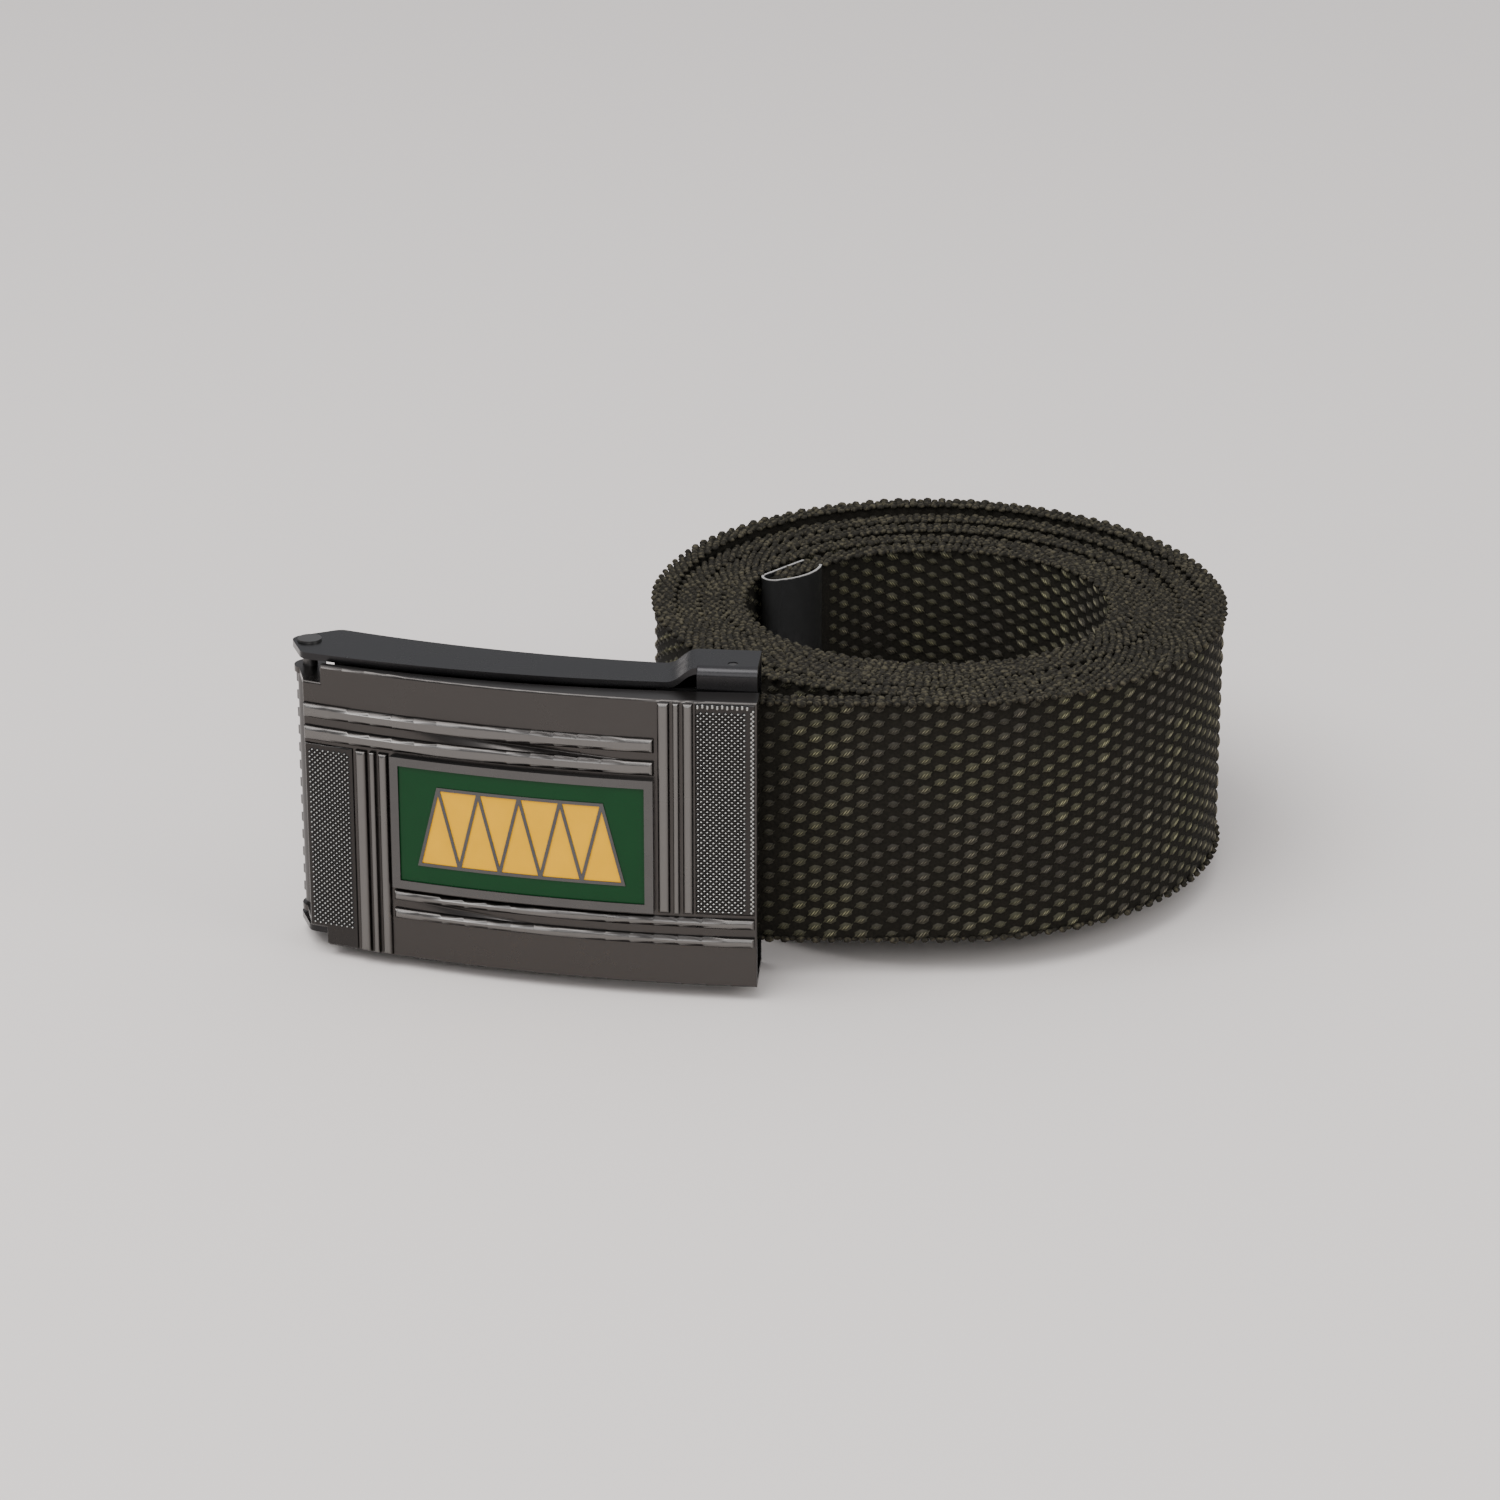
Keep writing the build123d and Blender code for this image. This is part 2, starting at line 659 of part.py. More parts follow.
def main():
    """Builds, levels, centres and writes every piece, and prints its joints and landmarks."""
    os.makedirs("parts", exist_ok=True)
    turned = upright()
    placed = {name: turned * piece for name, piece in build_parts().items()}
    everything = [solid for piece in placed.values() for solid in piece.solids()]
    box = Compound(children=everything).bounding_box()
    shift = Pos(-(box.min.X + box.max.X) / 2, -(box.min.Y + box.max.Y) / 2, -box.min.Z)
    for name, piece in placed.items():
        solids = [shift * solid for solid in piece.solids()]
        export_step(solids[0] if len(solids) == 1 else Compound(children=solids), f"parts/{name}.step")
    whole = shift * turned
    report_point("origin", whole, (0, 0, 0))
    report_point("axis end", whole, (0, 0, 1000))
    report_point("hinge", whole, (*at(pin_s, pin_depth), frame_mid))
    report_point("clamp", whole, (*at(clamp_s, clamp_depth), frame_mid))
    report_point("strap end", whole, (*at(joggle_end, strap_mid_depth), strap_mid))
    print("slopes", [round(value, 5) for value in floor_slopes()], "strap length", round(strap_length(), 2))
    print("size", box.size)


if __name__ == "__main__":
    main()
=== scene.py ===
import json
import math

import bmesh
import bpy
import numpy as np
from mathutils import Matrix, Vector


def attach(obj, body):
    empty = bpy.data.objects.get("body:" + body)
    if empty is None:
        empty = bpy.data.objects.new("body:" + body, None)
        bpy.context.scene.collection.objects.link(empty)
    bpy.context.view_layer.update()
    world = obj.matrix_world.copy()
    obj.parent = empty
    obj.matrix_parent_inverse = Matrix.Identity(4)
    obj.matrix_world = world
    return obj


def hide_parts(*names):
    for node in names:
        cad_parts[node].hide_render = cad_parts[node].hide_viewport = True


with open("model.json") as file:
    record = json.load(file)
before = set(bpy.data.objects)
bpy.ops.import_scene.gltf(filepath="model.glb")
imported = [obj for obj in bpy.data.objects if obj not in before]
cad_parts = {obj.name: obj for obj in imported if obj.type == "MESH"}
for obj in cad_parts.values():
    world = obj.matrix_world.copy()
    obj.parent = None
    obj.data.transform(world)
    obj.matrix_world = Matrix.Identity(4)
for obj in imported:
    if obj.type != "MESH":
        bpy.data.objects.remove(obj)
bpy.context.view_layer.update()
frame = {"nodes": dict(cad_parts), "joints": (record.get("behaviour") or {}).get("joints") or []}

# ---- View ----------------------------------------------------------------------------------
# A long lens looks a little down on the belt. The belt leans, so the lens is set in the belt's own
# axes, which the two hinge pins give: up along the pins, right along the buckle, back from it.
FACE_RADIUS = 195.0
ARC_MIDDLE = (-12.0, 141.2)
HINGE_STATION = 87.7
HINGE_DEPTH = 6.9
FRAME_MIDDLE = 19.5
LENS_IN_BELT = (-28.3, -673.1, 265.4)
LOOK_DOWN = math.radians(20.5)
LENS_LENGTH = 110.16
SENSOR = 36.0
MM = 0.001


def on_buckle(station, depth, height):
    """A point of the buckle in the belt's axes: along its face's arc, behind the face, and up."""
    around, reach = station / FACE_RADIUS, FACE_RADIUS - depth
    return (ARC_MIDDLE[0] - reach * math.sin(around), ARC_MIDDLE[1] - reach * math.cos(around), height)


joints = {joint["name"]: joint for joint in frame["joints"]}
belt_up = Vector(joints["clamp_hinge"]["axis"]).normalized()
belt_back = Vector((0, belt_up.z, -belt_up.y)).normalized()
belt_right = belt_back.cross(belt_up)
belt_turn = Matrix((belt_right, belt_back, belt_up)).transposed()
hinge_in_belt = Vector(on_buckle(HINGE_STATION, HINGE_DEPTH, FRAME_MIDDLE)) * MM
belt_origin = Vector(joints["cover_hinge"]["pos_m"]) - belt_turn @ hinge_in_belt


def placed(point):
    """A point of the belt's own axes, in millimetres, where it stands in the scene."""
    return belt_origin + belt_turn @ (Vector(point) * MM)


lens = bpy.data.cameras.new("lens")
lens.lens = LENS_LENGTH
lens.sensor_width = SENSOR
lens.clip_end = 10
camera = bpy.data.objects.new("camera", lens)
bpy.context.scene.collection.objects.link(camera)
look = Vector((0, math.cos(LOOK_DOWN), -math.sin(LOOK_DOWN)))
lens_up = Vector((0, math.sin(LOOK_DOWN), math.cos(LOOK_DOWN)))
lens_axes = belt_turn @ Matrix((Vector((1, 0, 0)), lens_up, -look)).transposed()
camera.matrix_world = Matrix.Translation(placed(LENS_IN_BELT)) @ lens_axes.to_4x4()
bpy.context.scene.camera = camera


# ---- Studio --------------------------------------------------------------------------------
# A wide pale matt table in a room whose ceiling is bright and whose walls are dim, so that the
# plating stays dark and its crests catch the light. Three soft lamps stand round the table.
TABLE_HALF = 6.0
TABLE_COLOUR = (0.68, 0.635, 0.605)
ROOM_COLOUR = (0.95, 0.96, 1.0, 1)
WALL_STRENGTH = 0.22
CEILING_STRENGTH = 1.35


class Link:
    """A shader socket that arithmetic works on; each operation adds its Math node."""

    def __init__(self, finish, socket):
        self.finish, self.socket = finish, socket

    def math(self, operation, first, second):
        return self.finish.node("ShaderNodeMath", {"operation": operation}, {0: first, 1: second})

    def __add__(self, other):
        return self.math("ADD", self, other)

    def __sub__(self, other):
        return self.math("SUBTRACT", self, other)

    def __mul__(self, other):
        return self.math("MULTIPLY", self, other)

    def __rsub__(self, other):
        return self.math("SUBTRACT", other, self)

    __radd__ = __add__
    __rmul__ = __mul__


class Finish:
    """A node-based finish on one Principled shader."""

    def __init__(self, name, **constants):
        self.material = bpy.data.materials.new(name)
        self.material.use_nodes = True
        self.tree = self.material.node_tree
        self.shader = self.tree.nodes["Principled BSDF"]
        self.feed(**constants)

    def node(self, kind, settings=None, inputs=None, output=0):
        made = self.tree.nodes.new(kind)
        for name, value in (settings or {}).items():
            setattr(made, name, value)
        for name, value in (inputs or {}).items():
            self.join(value, made.inputs[name])
        return Link(self, made.outputs[output])

    def join(self, value, socket):
        if isinstance(value, Link):
            self.tree.links.new(value.socket, socket)
        else:
            socket.default_value = value

    def feed(self, **values):
        for name, value in values.items():
            self.join(value, self.shader.inputs[name.replace("_", " ")])

    def place(self):
        return self.node("ShaderNodeTexCoord", output="Object")

    def noise(self, scale, detail=3.0):
        inputs = {"Vector": self.place(), "Scale": scale, "Detail": detail}
        return self.node("ShaderNodeTexNoise", inputs=inputs)

    def between(self, share, low, high):
        """A colour from low to high by share."""
        return self.node("ShaderNodeMix", {"data_type": "RGBA"}, {0: share, 6: low, 7: high}, 2)

    def step(self, value, start, end):
        """Rises smoothly from 0 to 1 while value goes from start to end."""
        ends = {"Value": value, "From Min": start, "From Max": end}
        return self.node("ShaderNodeMapRange", {"interpolation_type": "SMOOTHSTEP"}, ends)

    def bump(self, height, depth, strength=1.0):
        inputs = {"Height": height, "Distance": depth, "Strength": strength}
        return self.node("ShaderNodeBump", inputs=inputs)


def painted(piece, finish):
    """Gives a piece, or a piece kept from the design, one finish."""
    piece.data.materials.clear()
    piece.data.materials.append(finish.material)
    return piece


def mesh_piece(name, points, faces, smooth=True):
    """An object from points in metres and faces."""
    mesh = bpy.data.meshes.new(name)
    mesh.from_pydata([tuple(point) for point in points], [], faces)
    mesh.polygons.foreach_set("use_smooth", [smooth] * len(mesh.polygons))
    mesh.update()
    piece = bpy.data.objects.new(name, mesh)
    bpy.context.scene.collection.objects.link(piece)
    return piece


table_paint = Finish("table_paint", Roughness=0.9)
mottle = table_paint.noise(3.0)
mottled = tuple(value * 1.02 for value in TABLE_COLOUR)
table_paint.feed(Base_Color=table_paint.between(mottle, (*TABLE_COLOUR, 1), (*mottled, 1)))
corners = [(x * TABLE_HALF, y * TABLE_HALF, 0) for x, y in ((-1, -1), (1, -1), (1, 1), (-1, 1))]
table = painted(mesh_piece("table", corners, [(0, 1, 2, 3)], smooth=False), table_paint)

room = bpy.data.worlds.new("room")
room.use_nodes = True
backdrop = room.node_tree.nodes["Background"]
backdrop.inputs["Color"].default_value = ROOM_COLOUR
direction = room.node_tree.nodes.new("ShaderNodeTexCoord")
height = room.node_tree.nodes.new("ShaderNodeSeparateXYZ")
glow = room.node_tree.nodes.new("ShaderNodeMapRange")
glow.interpolation_type = "SMOOTHSTEP"
glow.inputs["To Min"].default_value = WALL_STRENGTH
glow.inputs["To Max"].default_value = CEILING_STRENGTH
room.node_tree.links.new(direction.outputs["Generated"], height.inputs[0])
room.node_tree.links.new(height.outputs["Z"], glow.inputs["Value"])
room.node_tree.links.new(glow.outputs[0], backdrop.inputs["Strength"])
bpy.context.scene.world = room
for name, place, size, power in (
    ("lamp_above", (-0.35, -0.25, 0.9), 0.7, 9.0),
    ("lamp_right", (0.8, -0.5, 0.5), 0.5, 3.0),
    ("lamp_front", (-0.1, -0.9, 0.45), 0.5, 2.0),
):
    light = bpy.data.lights.new(name, "AREA")
    light.size = size
    light.energy = power
    lamp = bpy.data.objects.new(name, light)
    bpy.context.scene.collection.objects.link(lamp)
    lamp.location = place
    lamp.rotation_euler = (Vector((0, 0, 0.02)) - Vector(place)).to_track_quat("-Z", "Y").to_euler()


# ---- Strap -----------------------------------------------------------------------------------
# A dark olive strap of thick spun yarn, woven on a narrow loom and cut to length. It is clamped at
# the buckle and rolled inwards by hand, so its turns sit at slightly uneven heights and the outer
# turn rides up at the back.
STRAP_WIDTH = 38.0
TURN_PITCH = 3.6
FIRST_TURN = 43.4
HALF_TURNS = 9
CURL_RADIUS = 24.0
CURL_SWEEP = 50.0
TIP_RUN = 9.4
ENTRY = 12.0
STRAP_DEPTH = 10.4
CLAMPED_AT = 30.3
BODY_THICK = 2.3
BODY_INSET = 0.35
BODY_CORNER = 0.45
TURN_LIFT = 4.5
LIFT_FADE = 9.0
TURN_WAVE = 0.22
WAVE_RATE = 1.7
PATH_STEP = 0.8


def strap_line():
    """The middle line of the strap from the clamp to its free end, in the belt's axes."""
    points = []
    steps = round(CLAMPED_AT / PATH_STEP)
    for i in range(steps):
        points.append(on_buckle(CLAMPED_AT * (1 - i / steps), STRAP_DEPTH, 0.0))
    x, y, heading = -ENTRY, -FIRST_TURN, 0.0
    runs = [(ENTRY, 0.0)]
    runs += [(FIRST_TURN - half * TURN_PITCH / 2, math.pi) for half in range(HALF_TURNS)]
    runs += [(CURL_RADIUS, math.radians(CURL_SWEEP)), (TIP_RUN, 0.0)]
    for size, sweep in runs:
        steps = max(2, round((size * sweep if sweep else size) / PATH_STEP))
        for i in range(steps):
            if sweep:
                turn = sweep * i / steps
                cx, cy = x - size * math.sin(heading), y + size * math.cos(heading)
                spot = (cx + size * math.sin(heading + turn), cy - size * math.cos(heading + turn))
            else:
                turn = 0.0
                spot = (x + size * i / steps * math.cos(heading), y + size * i / steps * math.sin(heading))
            points.append((*spot, heading + turn))
        if sweep:
            cx, cy = x - size * math.sin(heading), y + size * math.cos(heading)
            heading += sweep
            x, y = cx + size * math.sin(heading), cy - size * math.cos(heading)
        else:
            x, y = x + size * math.cos(heading), y + size * math.sin(heading)
    points.append((x, y, heading))
    lifted = []
    for x, y, turn in points:
        fade = math.exp(-turn / LIFT_FADE) * ((1 - math.cos(turn)) / 2) ** 2
        lift = TURN_LIFT * fade + TURN_WAVE * math.sin(WAVE_RATE * turn) * min(1, turn)
        lifted.append((x, y, STRAP_WIDTH / 2 + max(lift, 0)))
    return lifted


strap_points = strap_line()
strap_steps = np.linalg.norm(np.diff(np.array(strap_points), axis=0), axis=1)
strap_run = np.concatenate([[0], np.cumsum(strap_steps)])


def turn_start(number):
    """Distance along the strap to the start of a half turn of the roll."""
    done = sum(math.pi * (FIRST_TURN - half * TURN_PITCH / 2) for half in range(number))
    return (FACE_RADIUS - STRAP_DEPTH) * CLAMPED_AT / FACE_RADIUS + ENTRY + done


def swept_strap(name, points, half_wide, half_thick):
    """A closed strap body with rounded edges, swept along a line."""
    line = np.array(points)
    along = np.gradient(line[:, :2], axis=0)
    along /= np.linalg.norm(along, axis=1)[:, None]
    outward = np.stack([along[:, 1], -along[:, 0]], axis=1)
    section = []
    for u, v in ((1, 1), (-1, 1), (-1, -1), (1, -1)):
        for around in range(3):
            turn = math.radians(45 * around)
            across, up = (math.cos(turn), math.sin(turn)) if u * v > 0 else (math.sin(turn), math.cos(turn))
            thick = half_thick + BODY_CORNER * (across - 1)
            section.append((u * thick, v * (half_wide + BODY_CORNER * (up - 1))))
    vertices, faces, count = [], [], len(section)
    for spot, out in zip(line, outward):
        for w, v in section:
            vertices.append(placed((spot[0] + out[0] * w, spot[1] + out[1] * w, spot[2] + v)))
    for ring in range(len(line) - 1):
        for i in range(count):
            a, b = ring * count + i, ring * count + (i + 1) % count
            faces.append((a, b, b + count, a + count))
    faces.append(tuple(reversed(range(count))))
    faces.append(tuple((len(line) - 1) * count + i for i in range(count)))
    piece = mesh_piece(name, vertices, faces)
    sealed = bmesh.new()
    sealed.from_mesh(piece.data)
    bmesh.ops.recalc_face_normals(sealed, faces=sealed.faces)
    sealed.to_mesh(piece.data)
    sealed.free()
    return piece


yarn = Finish("olive_yarn", Specular_IOR_Level=0.3)
flat_place = yarn.node("ShaderNodeAttribute", {"attribute_name": "cloth"}, output="Vector")
rise = yarn.node("ShaderNodeSeparateXYZ", inputs={0: flat_place}, output=2)
fuzz = yarn.noise(2600.0, 4.0)
patches = yarn.noise(75.0, 2.0)
each_float = yarn.noise(420.0, 1.0)
# Painted shade and painted highlight: each float's low sides fade to a near-black shade colour and its
# raised tops take a light highlight colour, set by height in the weave.
plump = yarn.step(rise, 0.00012, 0.00050)
crest = yarn.step(rise + fuzz * 0.00010, 0.00060, 0.00072)
shade = yarn.step(patches, 0.35, 0.68)
shade_yarn = yarn.between(shade, (0.0050, 0.0044, 0.0032, 1), (0.0075, 0.0070, 0.0044, 1))
full_yarn = yarn.between(shade, (0.0300, 0.0262, 0.0185, 1), (0.0430, 0.0405, 0.0225, 1))
highlight_yarn = yarn.between(shade, (0.190, 0.170, 0.122, 1), (0.285, 0.270, 0.150, 1))
shaded_float_yarn = yarn.between(plump, shade_yarn, full_yarn)
highlight_share = crest * (yarn.step(each_float, 0.30, 0.62) * 0.6 + 0.4)
yarn.feed(Base_Color=yarn.between(highlight_share, shaded_float_yarn, highlight_yarn))
yarn.feed(Roughness=fuzz * 0.3 + 0.55, Normal=yarn.bump(fuzz, 0.00010, 0.7))

# Painted shade: the strap's body, seen in the gaps between the floats, is coloured near black.
shaded_ground_yarn = Finish("shaded_ground_yarn", Roughness=0.95, Specular_IOR_Level=0.15)
ground_fuzz = shaded_ground_yarn.noise(2200.0, 4.0)
gap_shade_tone = shaded_ground_yarn.between(ground_fuzz, (0.003, 0.0028, 0.002, 1), (0.016, 0.014, 0.010, 1))
shaded_ground_yarn.feed(Base_Color=gap_shade_tone, Normal=shaded_ground_yarn.bump(ground_fuzz, 0.0002))

strap_body = swept_strap("strap", strap_points, STRAP_WIDTH / 2 - BODY_INSET, BODY_THICK / 2)
strap = painted(strap_body, shaded_ground_yarn)
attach(strap, "root")
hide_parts("webbing")


# ---- Yarn floats and selvages ------------------------------------------------------------------
# Each warp yarn rises over the weft as a short plump float, and its four twisted plies show as
# slanting ridges. Neighbouring columns are half a row apart and every second one is finer. The
# strap's two edges are closed by rows of small loops.
COLUMN_PITCH = 2.28
ROW_PITCH = 2.29
WEAVE_ROWS = 16
FLOATS_START = 1.5
BACK_REACH = 8.0


def path_object(name, points):
    """A line through points of the belt's own axes, in millimetres, for rows to be laid along."""
    mesh = bpy.data.meshes.new(name)
    mesh.from_pydata([tuple(placed(p)) for p in points], [(i, i + 1) for i in range(len(points) - 1)], [])
    piece = bpy.data.objects.new(name, mesh)
    bpy.context.scene.collection.objects.link(piece)
    return piece


class Maker:
    """Builds a Geometry Nodes tree with named inputs."""

    def __init__(self, name, inputs):
        self.tree = bpy.data.node_groups.new(name, "GeometryNodeTree")
        self.tree.interface.new_socket("Geometry", in_out="OUTPUT", socket_type="NodeSocketGeometry")
        self.sockets = {}
        for label, kind in inputs:
            made = self.tree.interface.new_socket(label, in_out="INPUT", socket_type="NodeSocket" + kind)
            self.sockets[label] = made.identifier
        self.inlet = self.tree.nodes.new("NodeGroupInput")
        self.outlet = self.tree.nodes.new("NodeGroupOutput")

    def given(self, label):
        return self.inlet.outputs[label]

    def node(self, kind, settings=None, inputs=None, output=0):
        made = self.tree.nodes.new(kind)
        for name, value in (settings or {}).items():
            setattr(made, name, value)
        for name, value in (inputs or {}).items():
            if isinstance(value, bpy.types.NodeSocket):
                self.tree.links.new(value, made.inputs[name])
            else:
                made.inputs[name].default_value = value
        return made.outputs[output]

    def maths(self, operation, *values):
        return self.node("ShaderNodeMath", {"operation": operation}, dict(enumerate(values)))

    def vector(self, operation, first, second=None, scale=None):
        inputs = {0: first}
        if second is not None:
            inputs[1] = second
        if scale is not None:
            inputs["Scale"] = scale
        return self.node("ShaderNodeVectorMath", {"operation": operation}, inputs)

    def switch(self, kind, test, off, on):
        inputs = {"Switch": test, "False": off, "True": on}
        return self.node("GeometryNodeSwitch", {"input_type": kind}, inputs)


def row_maker():
    """Tree that lays a half-drop lattice of one small shape along a path, on its face or its edge."""
    maker = Maker("laid_rows", [
        ("Geometry", "Geometry"), ("Shape", "Object"), ("Finish", "Material"), ("Columns", "Int"),
        ("Rows", "Int"), ("Column Pitch", "Float"), ("Row Pitch", "Float"), ("Start", "Float"),
        ("Height", "Float"), ("Size", "Vector"), ("Fine Size", "Vector"), ("Slant", "Float"),
        ("Unevenness", "Float"), ("Up", "Vector"), ("Side", "Float"), ("On Edge", "Bool"),
        ("Turn Faces", "Bool"), ("Seed", "Int"),
    ])
    given, node, maths, vector = maker.given, maker.node, maker.maths, maker.vector
    long_side = maths("MULTIPLY", maths("SUBTRACT", given("Columns"), 1), given("Column Pitch"))
    wide_side = maths("MULTIPLY", maths("SUBTRACT", given("Rows"), 1), given("Row Pitch"))
    lattice = node("GeometryNodeMeshGrid", inputs={
        "Size X": long_side, "Size Y": wide_side,
        "Vertices X": given("Columns"), "Vertices Y": given("Rows")})
    spot = node("ShaderNodeSeparateXYZ", inputs={0: node("GeometryNodeInputPosition")}, output=0)
    spot_x = maths("ADD", spot, maths("MULTIPLY", long_side, 0.5))
    column = maths("ROUND", maths("DIVIDE", spot_x, given("Column Pitch")))
    odd = maths("MODULO", column, 2.0)
    drop = maths("MULTIPLY", maths("SUBTRACT", odd, 0.5), maths("MULTIPLY", given("Row Pitch"), 0.5))
    shift = node("ShaderNodeCombineXYZ", inputs={"X": maths("MULTIPLY", long_side, 0.5), "Y": drop})
    dropped = node("GeometryNodeSetPosition", inputs={"Geometry": lattice, "Offset": shift})
    shape = node("GeometryNodeObjectInfo", inputs={"Object": given("Shape")}, output="Geometry")
    ends = {2: -1.0, 3: 1.0, "Seed": given("Seed")}
    wobble = node("FunctionNodeRandomValue", {"data_type": "FLOAT"}, ends, 1)
    uneven = maths("MULTIPLY", wobble, given("Unevenness"))
    sizes = {0: odd, 4: given("Size"), 5: given("Fine Size")}
    size = node("ShaderNodeMix", {"data_type": "VECTOR"}, sizes, 1)
    size = vector("SCALE", size, scale=maths("ADD", uneven, 1.0))
    turn = maths("ADD", given("Slant"), maths("MULTIPLY", uneven, 1.5))
    turned = node("ShaderNodeCombineXYZ", inputs={"Z": turn})
    placed_shapes = node("GeometryNodeInstanceOnPoints", inputs={
        "Points": dropped, "Instance": shape, "Rotation": turned, "Scale": size})
    solid = node("GeometryNodeRealizeInstances", inputs={0: placed_shapes})
    position = node("GeometryNodeInputPosition")
    noted = node("GeometryNodeStoreNamedAttribute", {"data_type": "FLOAT_VECTOR", "domain": "POINT"},
                 {"Geometry": solid, "Name": "cloth", "Value": position})
    flat = maker.tree.nodes.new("ShaderNodeSeparateXYZ")
    maker.tree.links.new(position, flat.inputs[0])
    curve = node("GeometryNodeMeshToCurve", inputs={0: given("Geometry")})
    sample = maker.tree.nodes.new("GeometryNodeSampleCurve")
    sample.mode = "LENGTH"
    maker.tree.links.new(curve, sample.inputs["Curves"])
    maker.tree.links.new(maths("ADD", flat.outputs[0], given("Start")), sample.inputs["Length"])
    outward = vector("NORMALIZE", vector("CROSS_PRODUCT", sample.outputs["Tangent"], given("Up")))
    row_way = maker.switch("VECTOR", given("On Edge"), given("Up"), outward)
    rise_way = maker.switch("VECTOR", given("On Edge"), outward, given("Up"))
    rise = maths("MULTIPLY", maths("ADD", flat.outputs[2], given("Height")), given("Side"))
    target = vector("ADD", sample.outputs["Position"], vector("SCALE", row_way, scale=flat.outputs[1]))
    target = vector("ADD", target, vector("SCALE", rise_way, scale=rise))
    laid = node("GeometryNodeSetPosition", inputs={"Geometry": noted, "Position": target})
    facing = node("GeometryNodeFlipFaces", inputs={"Mesh": laid, "Selection": given("Turn Faces")})
    smooth = node("GeometryNodeSetShadeSmooth", inputs={"Geometry": facing})
    finished = node("GeometryNodeSetMaterial", inputs={"Geometry": smooth, "Material": given("Finish")})
    maker.tree.links.new(finished, maker.outlet.inputs[0])
    return maker


laid_rows = row_maker()


def lay_rows(name, points, shape, finish, **sizes):
    """Lays the lattice along points in millimetres, with sizes in metres, as one plain piece."""
    host = path_object(name + "_path", points)
    modifier = host.modifiers.new("rows", "NODES")
    modifier.node_group = laid_rows.tree
    values = {"Shape": shape, "Finish": finish.material, "Up": tuple(belt_up)}
    values.update({"Slant": 0.0, "Unevenness": 0.0})
    values.update({label.replace("_", " "): value for label, value in sizes.items()})
    for label, value in values.items():
        modifier[laid_rows.sockets[label]] = value
    bpy.context.view_layer.update()
    evaluated = host.evaluated_get(bpy.context.evaluated_depsgraph_get())
    mesh = bpy.data.meshes.new_from_object(evaluated)
    mesh.name = name
    piece = bpy.data.objects.new(name, mesh)
    bpy.context.scene.collection.objects.link(piece)
    bpy.data.objects.remove(host)
    if not mesh.materials:
        mesh.materials.append(finish.material)
    return piece


def unit_shape(name, build):
    """A small helper shape one unit across, removed once it has been laid."""
    shape = bmesh.new()
    build(shape)
    mesh = bpy.data.meshes.new(name)
    shape.to_mesh(mesh)
    shape.free()
    piece = bpy.data.objects.new(name, mesh)
    bpy.context.scene.collection.objects.link(piece)
    return piece


def millimetres(*values):
    return tuple(value * MM for value in values)


PLY_SLANT = math.radians(40)
PLY_SIZE = (0.52, 0.12, 0.34)
PLY_SPOTS = ((-0.30, 0.21), (-0.10, 0.27), (0.10, 0.27), (0.30, 0.21))
FLOAT_CORE = (1.0, 1.0, 0.66)


def bead(shape, sides, rings, size, spot=(0, 0, 0), slant=0.0):
    """Adds a small closed bead that lies along X, turned by its slant."""
    place = Matrix.Translation(spot) @ Matrix.Rotation(slant, 4, "Z") @ Matrix.Diagonal((*size, 1))
    lying = place @ Matrix.Rotation(math.pi / 2, 4, "Y")
    bmesh.ops.create_uvsphere(shape, u_segments=sides, v_segments=rings, radius=0.5, matrix=lying)


def plied_float(shape):
    """One float: a core with its plies lying over it."""
    bead(shape, 6, 4, FLOAT_CORE)
    for along, above in PLY_SPOTS:
        bead(shape, 4, 4, PLY_SIZE, (along, 0, above), PLY_SLANT)


def edge_loop(shape):
    bead(shape, 6, 4, (1, 1, 1))


float_shape = unit_shape("float_shape", plied_float)
loop_shape = unit_shape("loop_shape", edge_loop)
strap_end = float(strap_run[-1])
weave = dict(Rows=WEAVE_ROWS, Column_Pitch=COLUMN_PITCH * MM, Row_Pitch=ROW_PITCH * MM,
             Size=millimetres(2.30, 2.10, 1.62), Fine_Size=millimetres(2.05, 1.80, 1.55),
             Slant=math.radians(8), Unevenness=0.07, Height=0.85 * MM, On_Edge=False)
roll_face = turn_start(2)
inner_start = turn_start(HALF_TURNS - 2)
back_end = turn_start(0) + BACK_REACH
weave_pieces = []
for name, start, end, side, seed in (
    ("outer_floats_front", FLOATS_START, turn_start(1), 1.0, 3),
    ("outer_floats_back", turn_start(1), roll_face, 1.0, 4),
    ("inner_floats", inner_start, strap_end - TIP_RUN, -1.0, 5),
    ("back_floats", FLOATS_START, back_end, -1.0, 7),
):
    columns = int((end - start) / COLUMN_PITCH)
    weave_pieces.append(lay_rows(name, strap_points, float_shape, yarn, Columns=columns, Start=start * MM,
                                 Side=side, Turn_Faces=side < 0, Seed=seed, **weave))
edge_yarn = Finish("edge_yarn", Specular_IOR_Level=0.2)
edge_fuzz, edge_patches = edge_yarn.noise(1500.0, 4.0), edge_yarn.noise(110.0, 2.0)
edge_dark = edge_yarn.between(edge_patches, (0.008, 0.007, 0.005, 1), (0.014, 0.012, 0.008, 1))
edge_light = edge_yarn.between(edge_patches, (0.045, 0.038, 0.027, 1), (0.078, 0.070, 0.042, 1))
edge_yarn.feed(Base_Color=edge_yarn.between(edge_yarn.step(edge_fuzz, 0.42, 0.72), edge_dark, edge_light))
edge_yarn.feed(Roughness=edge_fuzz * 0.2 + 0.75, Normal=edge_yarn.bump(edge_fuzz, 0.00016, 0.9))
LOOP_PITCH = 1.15
LOOP_END_GAP = 0.5
LOOP_INSET = 0.42
